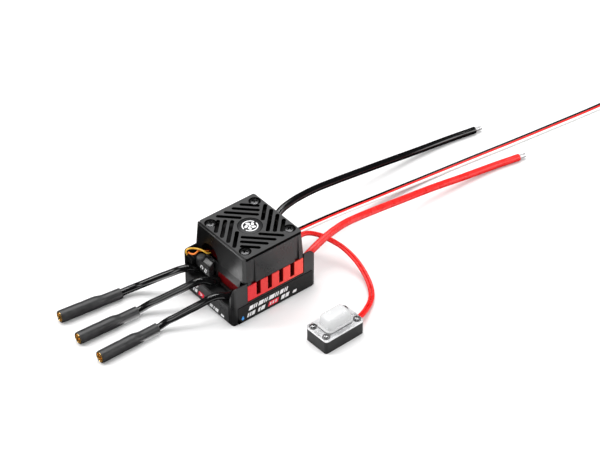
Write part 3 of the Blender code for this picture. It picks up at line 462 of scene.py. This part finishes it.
def make_motor_leads():
    for number, (route, tip, turn) in enumerate(zip(MOTOR_ROUTES, SOCKET_TIPS, SLEEVE_TURNS), 1):
        back = Vector((math.cos(math.radians(turn)), -math.sin(math.radians(turn)), 0))
        tip = Vector((*tip, 0))

        def on_axis(distance, height):
            return tip + back * distance + Vector((0, 0, height))

        ends = (
            on_axis(SLEEVE_LENGTH + 1.5, NECK_AXIS_Z + 0.15),
            on_axis(SLEEVE_LENGTH - 1.0, NECK_AXIS_Z),
            on_axis(SLEEVE_LENGTH - 5.0, NECK_AXIS_Z),
            on_axis(SOCKET_LENGTH + 4.0, NECK_AXIS_Z + 0.05),
            on_axis(SOCKET_LENGTH + 0.3, NECK_AXIS_Z + 0.3),
        )
        points = smooth_route(route + ends, 1.0)
        wire = lead(f"motor_wire_{number}", points, HEAVY_R, "black_silicone", f"motor_lead_{number}")

        rings = []
        stations = [0.3 + 0.8 * k for k in range(40)] + [SLEEVE_LENGTH]
        for distance in stations:
            share = min(max((distance - 18.8) / 4.6, 0.0), 1.0)
            share = share * share * (3 - 2 * share)
            # Shrunk tubing shows the socket's waist, and bears down a little at its own ends
            waist = 0.1 * math.exp(-(((distance - 12.8) / 0.9) ** 2))
            rim = 0.12 * math.exp(-(((distance - 0.3) / 0.5) ** 2))
            radius = SLEEVE_R * (1 - share) + SLEEVE_NECK_R * share - waist - rim
            height = SLEEVE_AXIS_Z * (1 - share) + NECK_AXIS_Z * share
            rings.append((on_axis(distance, height), back, radius))
        inside = [
            (centre, direction, max(radius - 0.26, 1.82)) for centre, direction, radius in reversed(rings)
        ]
        sleeve = along_rings(f"shrink_sleeve_{number}", rings + inside, "shrink")
        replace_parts(sleeve, f"heat_shrink_{number}")
        socket = make_socket(f"socket_{number}", on_axis(0, SLEEVE_AXIS_Z), -back, f"bullet_socket_{number}")


def make_power_leads():
    for colour, route in (("red", RED_ROUTE), ("black", BLACK_ROUTE)):
        points = smooth_route(route, 1.5)
        wire = lead(f"power_wire_{colour}", points, HEAVY_R, f"{colour}_silicone", f"power_lead_{colour}")


def make_receiver_lead():
    points = smooth_route(RECEIVER_ROUTE, 1.5)
    for colour, offset in (("black", CORE_PITCH), ("red", 0.0), ("white", -CORE_PITCH)):
        core = sideways(points, offset)
        wire = lead(f"receiver_wire_{colour}", core, THIN_R + 0.05, f"{colour}_silicone",
                    f"receiver_core_{colour}")


def make_switch_lead():
    points = smooth_route(SWITCH_ROUTE, 1.0)
    for number, offset in ((1, TWIN_PITCH / 2), (2, -TWIN_PITCH / 2)):
        core = sideways(points, offset)
        wire = lead(f"switch_wire_{number}", core, TWIN_R, "red_silicone", f"switch_lead_{number}")


make_motor_leads()
make_power_leads()
make_receiver_lead()
make_switch_lead()


# ---------------------------------------------------------------- CAD nodes that stay


def refine(node, finish_name, width):
    """Gives a CAD node its finish, and rounds its edges where a width is given."""
    obj = NODES[node]
    obj.data.materials.clear()
    obj.data.materials.append(FINISH[finish_name])
    if not width:
        return
    weld = obj.modifiers.new("weld", "WELD")
    weld.merge_threshold = WELD
    flat = obj.modifiers.new("flat", "DECIMATE")
    flat.decimate_type = "DISSOLVE"
    flat.angle_limit = math.radians(0.5)
    bevel = obj.modifiers.new("edges", "BEVEL")
    bevel.width = width * MM
    bevel.segments = 2
    bevel.limit_method = "ANGLE"
    bevel.angle_limit = math.radians(30)
    bevel.harden_normals = True


for node, finish_name, width in (
    ("lower_case", "black_plastic", 0.3),
    ("bottom_cover", "black_plastic", 0.15),
    ("side_label", "label_black", 0.0),
    ("end_label", "label_grey", 0.0),
    ("heatsink", "red_anodised", 0.15),
    ("motor_lead_seal", "seal_rubber", 0.2),
    ("power_lead_seal", "seal_rubber", 0.2),
    ("fan_frame", "fan_plastic", 0.2),
    ("fan_shaft", "bright_steel", 0.0),
    ("fan_stator", "copper", 0.1),
    ("fan_plug", "plug_plastic", 0.15),
    ("port_housing", "port_plastic", 0.2),
    ("fan_shroud", "shroud_plastic", 0.3),
    ("top_grille", "grille_plastic", 0.08),
    ("power_tip_red", "tin", 0.0),
    ("power_tip_black", "tin", 0.0),
    ("receiver_plug", "black_plastic", 0.15),
    ("switch_case", "box_plastic", 0.25),
    ("switch_plate", "plate_steel", 0.25),
    ("slide_switch", "chip_black", 0.1),
    ("switch_slider", "white_silicone", 0.1),
    ("power_board", "board_green", 0.1),
    ("control_board", "board_green", 0.1),
    ("board_connector", "chip_black", 0.1),
    ("processor_chip", "chip_black", 0.1),
    ("transistor_row_front", "chip_black", 0.1),
    ("transistor_row_rear", "chip_black", 0.1),
    ("capacitor_1", "can_metal", 0.1),
    ("capacitor_2", "can_metal", 0.1),
    ("thermal_pad", "pad_grey", 0.1),
):
    refine(node, finish_name, width)


# ---------------------------------------------------------------- printed marks

SIDE_FACE_Y = -19.15
END_FACE_X = -24.5
PORT_FACE_X = -21.6
PRINT_SPAN = (-0.02, 0.03)
OVERPRINT_SPAN = (0.0, 0.05)


def prism(bm, outline, low, high, place):
    """A flat closed shape from low to high, put where place(u, v, height) says."""
    rings = [[bm.verts.new(place(u, v, height) * MM) for u, v in outline] for height in (low, high)]
    count = len(outline)
    bm.faces.new(rings[0][::-1])
    bm.faces.new(rings[1])
    for k in range(count):
        bm.faces.new((rings[0][k], rings[0][(k + 1) % count], rings[1][(k + 1) % count], rings[1][k]))


def slanted(u, v, width, height, lean=0.32):
    return [(u, v), (u + width, v), (u + width + lean * height, v + height), (u + lean * height, v + height)]


def chevron(u, v, width, height, thick):
    middle = v + height / 2
    return [(u, v), (u + thick, v), (u + width, middle), (u + thick, v + height), (u, v + height),
            (u + width - thick, middle)]


def disc(u, v, radius, steps=16):
    return [(u + radius * math.cos(a), v + radius * math.sin(a))
            for a in (2 * math.pi * k / steps for k in range(steps))]


def drop(u, v, radius):
    """A small water drop: a round foot drawn up to a point."""
    outline = []
    for k in range(17):
        a = math.radians(150 + 240 * k / 16)
        outline.append((u + radius * math.cos(a), v + radius * math.sin(a)))
    return outline + [(u + 0.3 * radius, v + 1.6 * radius), (u + 0.15 * radius, v + 2.3 * radius),
                      (u - 0.35 * radius, v + 1.5 * radius)]


def printed(name, finish_name, outlines, place, span=PRINT_SPAN):
    """Thin raised marks, from and to the two heights of span over the face they lie on."""
    bm = bmesh.new()
    for outline in outlines:
        prism(bm, outline, *span, place)
    bmesh.ops.recalc_face_normals(bm, faces=bm.faces)
    mesh_object(name, bm, finish_name)


def on_side(u, v, height):
    return Vector((u, SIDE_FACE_Y - height, v))


def on_end(u, v, height):
    return Vector((END_FACE_X - height, -u, v))


def make_side_prints():
    white = []
    u = -15.6
    for width, gap in ((2.2, 0.5), (0.7, 0.5), (0.7, 0.9), (2.8, 0.5), (0.7, 0.5), (0.7, 0.9), (3.2, 0.5),
                       (0.7, 0.5), (0.7, 0.9), (2.0, 0.5), (0.7, 0.5), (0.7, 0.0)):
        white.append(slanted(u, 5.5, width, 2.3))
        u += width + gap
    u = -16.6
    for width, gap in ((0.8, 0.45), (0.8, 0.45), (1.8, 1.9), (1.2, 0.5), (2.2, 0.0)):
        white.append(slanted(u, 1.9, width, 2.2))
        u += width + gap
    white += [slanted(3.2, 1.9, 2.0, 2.2), slanted(5.8, 1.9, 1.9, 2.2), slanted(10.2, 2.0, 2.1, 1.5)]
    printed("side_print_white", "print_white", white, on_side)
    printed("side_print_red", "print_red", [slanted(-4.4, 1.7, 5.8, 2.6)], on_side)
    slashes = [slanted(-3.4 + 1.6 * k, 2.3, 0.7, 1.4) for k in range(3)]
    printed("side_print_slashes", "print_white", slashes, on_side, span=OVERPRINT_SPAN)
    printed("side_print_drop", "print_blue", [drop(-19.0, 2.5, 0.75)], on_side)


make_side_prints()


def make_end_prints():
    white = [slanted(-14.6 + 1.5 * k, 2.6, 0.8, 2.2) for k in range(3)]
    white += [slanted(-10.2, 2.6, 1.6, 2.2), slanted(1.2, 1.4, 2.0, 2.0), slanted(3.9, 1.4, 0.7, 2.0),
              slanted(5.2, 1.4, 2.2, 2.0), slanted(9.6, 1.3, 2.2, 1.2), slanted(-11.8, 6.8, 4.4, 0.5),
              slanted(-11.2, 5.7, 3.0, 0.5)]
    printed("end_print_white", "print_white", white, on_end)
    printed("end_print_red", "print_red", [slanted(-7.6, 2.4, 4.0, 2.6)], on_end)
    printed("end_print_chevron", "print_white", [chevron(-6.3, 2.9, 2.2, 1.6, 0.8)], on_end,
            OVERPRINT_SPAN)


make_end_prints()


# ---------------------------------------------------------------- fan cover

COOL_X = 0.65
BADGE_TOP = 35.25
SCREW_SPACING = 12.9
BLADES = 7
BLADE_ROOT_R = 6.9
BLADE_TIP_R = 13.6


def make_badge():
    """A dark disc that carries a white ring round a plain five-bladed fan."""
    profile = ((0, 34.8), (5.75, 34.8), (5.75, 35.08), (5.68, 35.19), (5.55, BADGE_TOP), (0, BADGE_TOP))
    plate = turned_solid("badge_disc", profile, (COOL_X, 0, 0), "badge_black", steps=72)
    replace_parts(plate, "centre_badge")

    def on_badge(u, v, height):
        return Vector((COOL_X + u, v, BADGE_TOP + height))

    shapes = []
    for start in (20, 200):
        outer = [math.radians(start + 160 * k / 24) for k in range(25)]
        shapes.append([(3.85 * math.cos(a), 3.85 * math.sin(a)) for a in outer]
                      + [(3.3 * math.cos(a), 3.3 * math.sin(a)) for a in reversed(outer)])
    for blade in range(5):
        lead_edge, trail_edge = [], []
        for k in range(9):
            r = 0.9 + 1.9 * k / 8
            swing = 0.22 * (r - 0.9)
            half = 0.2 + 0.28 * math.sin(math.pi * min(1.0, k / 7))
            middle = 2 * math.pi * blade / 5 + swing
            lead_edge.append((r * math.cos(middle + half), r * math.sin(middle + half)))
            trail_edge.append((r * math.cos(middle - half), r * math.sin(middle - half)))
        shapes.append(lead_edge + trail_edge[::-1])
    shapes.append(disc(0, 0, 0.62))
    printed("badge_mark", "print_white", shapes, on_badge)


make_badge()


def cross_cut(obj, at, z_floor, z_top, length, width, turn):
    """Cuts a cross recess with leaning walls into a screw head."""
    bm = bmesh.new()
    for angle in (turn, turn + math.pi / 2):
        corners = []
        for z, grow in ((z_floor, 0.55), (z_top, 1.1)):
            corners.append([
                bm.verts.new((Vector((*at, z)) + Matrix.Rotation(angle, 3, "Z")
                              @ Vector((sx * length / 2 * grow, sy * width / 2 * grow, 0))) * MM)
                for sx, sy in ((-1, -1), (1, -1), (1, 1), (-1, 1))
            ])
        low, high = corners
        bm.faces.new(low[::-1])
        bm.faces.new(high)
        for k in range(4):
            bm.faces.new((low[k], low[(k + 1) % 4], high[(k + 1) % 4], high[k]))
    bmesh.ops.recalc_face_normals(bm, faces=bm.faces)
    mesh = bpy.data.meshes.new("cross")
    bm.to_mesh(mesh)
    bm.free()
    cutter = bpy.data.objects.new("cross", mesh)
    bpy.context.scene.collection.objects.link(cutter)
    boolean = obj.modifiers.new("cross", "BOOLEAN")
    boolean.operation = "DIFFERENCE"
    boolean.solver = "EXACT"
    boolean.use_self = True
    boolean.object = cutter
    graph = bpy.context.evaluated_depsgraph_get()
    mesh = bpy.data.meshes.new_from_object(obj.evaluated_get(graph))
    obj.modifiers.clear()
    obj.data = mesh
    bpy.data.objects.remove(cutter)
    obj.data.shade_smooth()
    obj.data.set_sharp_from_angle(angle=math.radians(28))


def make_grille_screws():
    """Pan heads, low domes with a cross recess, each turned its own way."""
    dome = [(2.38 * math.sin(a), 35.0 + 0.48 * math.cos(a)) for a in (math.radians(9 * k) for k in range(11))]
    turns = ((-1, -1, 0.5), (-1, 1, 1.1), (1, -1, 0.15), (1, 1, 0.8))
    for number, (sx, sy, turn) in enumerate(turns, 1):
        at = (COOL_X + sx * SCREW_SPACING, sy * SCREW_SPACING)
        profile = [(0, dome[0][1])] + dome[1:] + [(2.38, 34.62), (1.2, 34.62), (1.2, 22.6), (0, 22.6)]
        head = turned_solid(f"cover_screw_{number}", profile, (*at, 0), "steel")
        cross_cut(head, at, 34.3, 36.0, 3.1, 0.85, turn)
        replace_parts(head, f"grille_screw_{number}")


make_grille_screws()


def make_impeller():
    """Seven broad blades that overlap a little, on a hub with a rounded rim."""
    profile = ((0, 31.9), (6.5, 31.9), (6.9, 31.8), (7.12, 31.55), (7.2, 31.2), (7.2, 26.5), (6.3, 26.5),
               (6.3, 30.9), (0, 30.9))
    hub = turned_solid("impeller_hub", profile, (COOL_X, 0, 0), "fan_plastic", "fan_rotor",
                       steps=64)
    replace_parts(hub, "fan_impeller")
    bm = bmesh.new()
    across, around = 7, 10
    for blade in range(BLADES):
        start = 2 * math.pi * blade / BLADES
        skins = []
        for side in (0.0, 0.5):
            grid = []
            for i in range(across + 1):
                r = BLADE_ROOT_R + (BLADE_TIP_R - BLADE_ROOT_R) * i / across
                row = []
                for j in range(around + 1):
                    share = j / around
                    angle = start - math.radians(56) * share + 0.028 * (r - 7)
                    z = 26.7 + 4.3 * share + side
                    point = Vector((COOL_X + r * math.cos(angle), r * math.sin(angle), z))
                    row.append(bm.verts.new(point * MM))
                grid.append(row)
            skins.append(grid)
        low, high = skins
        for i in range(across):
            for j in range(around):
                bm.faces.new((low[i][j], low[i][j + 1], low[i + 1][j + 1], low[i + 1][j]))
                bm.faces.new((high[i][j], high[i + 1][j], high[i + 1][j + 1], high[i][j + 1]))
        for i in range(across):
            for j in (0, around):
                bm.faces.new((low[i][j], low[i + 1][j], high[i + 1][j], high[i][j]))
        for j in range(around):
            for i in (0, across):
                bm.faces.new((low[i][j], low[i][j + 1], high[i][j + 1], high[i][j]))
    bmesh.ops.recalc_face_normals(bm, faces=bm.faces)
    blades = mesh_object("impeller_blades", bm, "fan_plastic", "fan_rotor")
    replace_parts(blades, "fan_impeller")


make_impeller()


# ---------------------------------------------------------------- switch module

SWITCH_AT = Vector((8.1, -52.5, 0))
SWITCH_TURN = Matrix.Rotation(math.radians(1.5), 3, "Z")


def on_switch(x, y, z):
    return SWITCH_TURN @ Vector((x, y, z)) + SWITCH_AT


def rounded_ring(half_x, half_y, corner, z, steps=6):
    """Points round a rounded rectangle at one height, in the module's own frame."""
    ring = []
    for quarter, (sx, sy) in enumerate(((1, 1), (-1, 1), (-1, -1), (1, -1))):
        for k in range(steps + 1):
            a = math.radians(90 * quarter + 90 * k / steps)
            ring.append((sx * (half_x - corner) + corner * math.cos(a),
                         sy * (half_y - corner) + corner * math.sin(a), z))
    return ring


def make_boot():
    """A moulded silicone boot: a flange under the screws, a step, and a soft crown that hides the knob."""
    outer = ((7.8, 4.7, 2.2, 8.2), (7.85, 4.75, 2.2, 8.4), (7.8, 4.7, 2.2, 8.85), (7.65, 4.55, 2.1, 9.0),
             (7.25, 4.35, 1.9, 9.05), (7.05, 4.2, 1.7, 9.2), (6.95, 4.1, 1.6, 9.7), (6.85, 4.0, 1.6, 11.4),
             (6.55, 3.78, 1.6, 13.0), (6.15, 3.45, 1.6, 13.9), (5.5, 2.9, 1.5, 14.35), (4.6, 2.1, 1.1, 14.55),
             (3.2, 1.0, 0.5, 14.6))
    inner = ((3.0, 0.9, 0.4, 13.9), (4.6, 1.9, 0.9, 13.7), (5.3, 2.6, 1.1, 13.0), (5.8, 3.1, 1.1, 11.4),
             (5.9, 3.2, 1.1, 9.2), (5.9, 3.2, 1.1, 8.2))
    rings = [rounded_ring(*row) for row in outer + inner]
    bm = bmesh.new()
    loops = [[bm.verts.new(on_switch(*point) * MM) for point in ring] for ring in rings]
    count = len(loops[0])
    for a, b in zip(loops, loops[1:] + loops[:1]):
        if a is loops[len(outer) - 1]:
            continue
        for k in range(count):
            bm.faces.new((a[k], a[(k + 1) % count], b[(k + 1) % count], b[k]))
    bm.faces.new(loops[len(outer) - 1])
    bm.faces.new(loops[len(outer)][::-1])
    bmesh.ops.recalc_face_normals(bm, faces=bm.faces)
    boot = mesh_object("soft_boot", bm, "clear_rubber", body=None, angle=60)
    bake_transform(boot)
    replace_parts(boot, "switch_boot")


make_boot()


def make_switch_screws():
    profile = ((0, 9.1), (0.75, 9.05), (1.15, 8.9), (1.4, 8.6), (1.42, 8.32), (1.42, 8.26), (1.86, 8.26),
               (1.92, 8.2), (1.92, 8.02), (1.86, 7.96), (0.75, 7.96), (0.75, 3.8), (0, 3.8))
    turns = ((-1, -1, 0.3), (-1, 1, 1.2), (1, -1, 0.7), (1, 1, 0.05))
    for number, (sx, sy, turn) in enumerate(turns, 1):
        at = on_switch(sx * 9.3, sy * 4.5, 0)
        screw = turned_solid(f"plate_screw_{number}", profile, (at.x, at.y, 0), "screw_steel", steps=40)
        cross_cut(screw, (at.x, at.y), 8.35, 9.6, 2.1, 0.5, turn)
        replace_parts(screw, f"switch_screw_{number}")


make_switch_screws()


# ---------------------------------------------------------------- port and fan leads

FAN_LEAD_R = 0.41
FAN_LEAD_ROUTES = {
    "yellow": ((-22.9, 15.9, 18.5), (-22.9, 16.7, 18.8), (-23.2, 17.3, 20.0), (-23.7, 17.0, 22.0),
               (-23.3, 15.4, 24.2), (-22.3, 15.1, 24.1), (-21.0, 14.5, 23.8), (-19.0, 12.4, 23.4),
               (-18.2, 11.2, 23.0), (-17.4, 10.2, 22.1), (-16.4, 9.7, 21.5), (-15.2, 9.7, 21.2)),
    "orange": ((-21.6, 15.9, 18.5), (-21.6, 16.7, 18.8), (-22.2, 17.1, 19.7), (-22.6, 16.5, 20.9),
               (-22.8, 15.0, 21.3), (-22.0, 12.9, 22.0), (-21.0, 12.3, 22.9), (-20.0, 12.8, 22.7),
               (-18.8, 13.0, 22.2), (-17.4, 12.3, 21.8), (-16.2, 11.6, 21.5), (-15.2, 11.2, 21.2)),
}


def make_port_details():
    for colour, route in FAN_LEAD_ROUTES.items():
        points = smooth_route(route, 0.4)
        lead(f"fan_wire_{colour}", points, FAN_LEAD_R, f"{colour}_silicone", f"fan_lead_{colour}")
    cap = turned_solid("port_plug_cap", ((0, 21.75), (1.0, 21.8), (1.5, 21.75), (1.85, 21.6), (2.02, 21.4),
                                         (2.08, 21.2), (2.02, 21.1), (2.08, 21.0), (2.02, 20.9), (2.08, 20.8),
                                         (2.1, 20.5), (0, 20.5)), (-20.1, 10.2, 0), "grey_rubber", steps=40)
    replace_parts(cap, "port_cap")

    def on_port(u, v, height):
        return Vector((PORT_FACE_X - height, -u, v))

    marks = [slanted(-9.2, 16.2, 0.5, 1.9), chevron(-8.0, 16.0, 1.2, 2.2, 0.55), disc(-4.4, 17.4, 0.42),
             slanted(-6.2, 15.4, 0.5, 2.6), slanted(-5.3, 15.4, 0.5, 1.2)]
    printed("port_mark", "print_white", marks, on_port)


make_port_details()


# ---------------------------------------------------------------- floor and light


def plain_shader(name, mesh):
    material = bpy.data.materials.new(name)
    material.use_nodes = True
    mesh.materials.append(material)
    return material.node_tree.nodes["Principled BSDF"]


def flat_sheet(name, x, y, z):
    """A level rectangle in metres, from x[0], y[0] to x[1], y[1], at height z."""
    mesh = bpy.data.meshes.new(name)
    mesh.from_pydata([(x[0], y[0], 0), (x[1], y[0], 0), (x[1], y[1], 0), (x[0], y[1], 0)], [], [(0, 1, 2, 3)])
    sheet = bpy.data.objects.new(name, mesh)
    sheet.location.z = z
    bpy.context.scene.collection.objects.link(sheet)
    return sheet


def area_light(name, place, size, power, aim):
    data = bpy.data.lights.new(name, "AREA")
    data.shape = "RECTANGLE"
    data.size, data.size_y = size
    data.energy = power
    light = bpy.data.objects.new(name, data)
    light.location = place
    light.rotation_euler = aim.to_euler()
    bpy.context.scene.collection.objects.link(light)


def make_stage():
    floor = flat_sheet("floor", (-4, 4), (-4, 4), -0.00005)
    shader = plain_shader("floor", floor.data)
    shader.inputs["Base Color"].default_value = (0.92, 0.92, 0.92, 1)
    shader.inputs["Roughness"].default_value = 0.12

    # Studio cards on the floor, seen in reflections only: two black ones darken what the case and the leads
    # mirror, and a bright one lights the motor end's wall
    for name, x, y, z, glow in (("flag_left", (-0.125, -0.019), (-0.033, 0.070), -0.00004, 0.0),
                                ("flag_right", (0.024, 0.230), (-0.018, 0.075), -0.00004, 0.0),
                                ("flag_bright", (-0.062, -0.034), (-0.006, 0.019), -0.00002, 3.4)):
        card = flat_sheet(name, x, y, z)
        for kind in ("camera", "diffuse", "transmission", "volume_scatter", "shadow"):
            setattr(card, f"visible_{kind}", False)
        shader = plain_shader(name, card.data)
        shader.inputs["Base Color"].default_value = (0.002, 0.002, 0.002, 1)
        shader.inputs["Specular IOR Level"].default_value = 0.0
        shader.inputs["Emission Color"].default_value = (1, 1, 1, 1)
        shader.inputs["Emission Strength"].default_value = glow

    world = bpy.data.worlds.new("studio")
    bpy.context.scene.world = world
    world.use_nodes = True
    background = world.node_tree.nodes["Background"]
    background.inputs["Color"].default_value = (1, 1, 1, 1)
    background.inputs["Strength"].default_value = 0.72
    world.cycles_visibility.glossy = False

    for name, place, size, power in (
        ("overhead", (0.25, 0.45, 1.1), (0.9, 0.7), 7.0),
        ("back_left", (-0.75, 0.7, 0.6), (0.3, 0.9), 6.5),
        ("front_left", (-0.9, -0.5, 0.5), (0.3, 0.8), 2.5),
        ("front_right", (0.55, -0.75, 0.4), (0.3, 0.5), 2.0),
    ):
        area_light(name, place, size, power, Vector(place).to_track_quat("Z", "Y").to_matrix())
    # A narrow strip straight overhead makes the thin highlights along the leads
    area_light("strip", (0.17, 0.0, 1.15), (1.1, 0.05), 3.5, Matrix.Rotation(math.radians(-25), 3, "Z"))
    bpy.context.scene.view_settings.view_transform = "Standard"


make_stage()
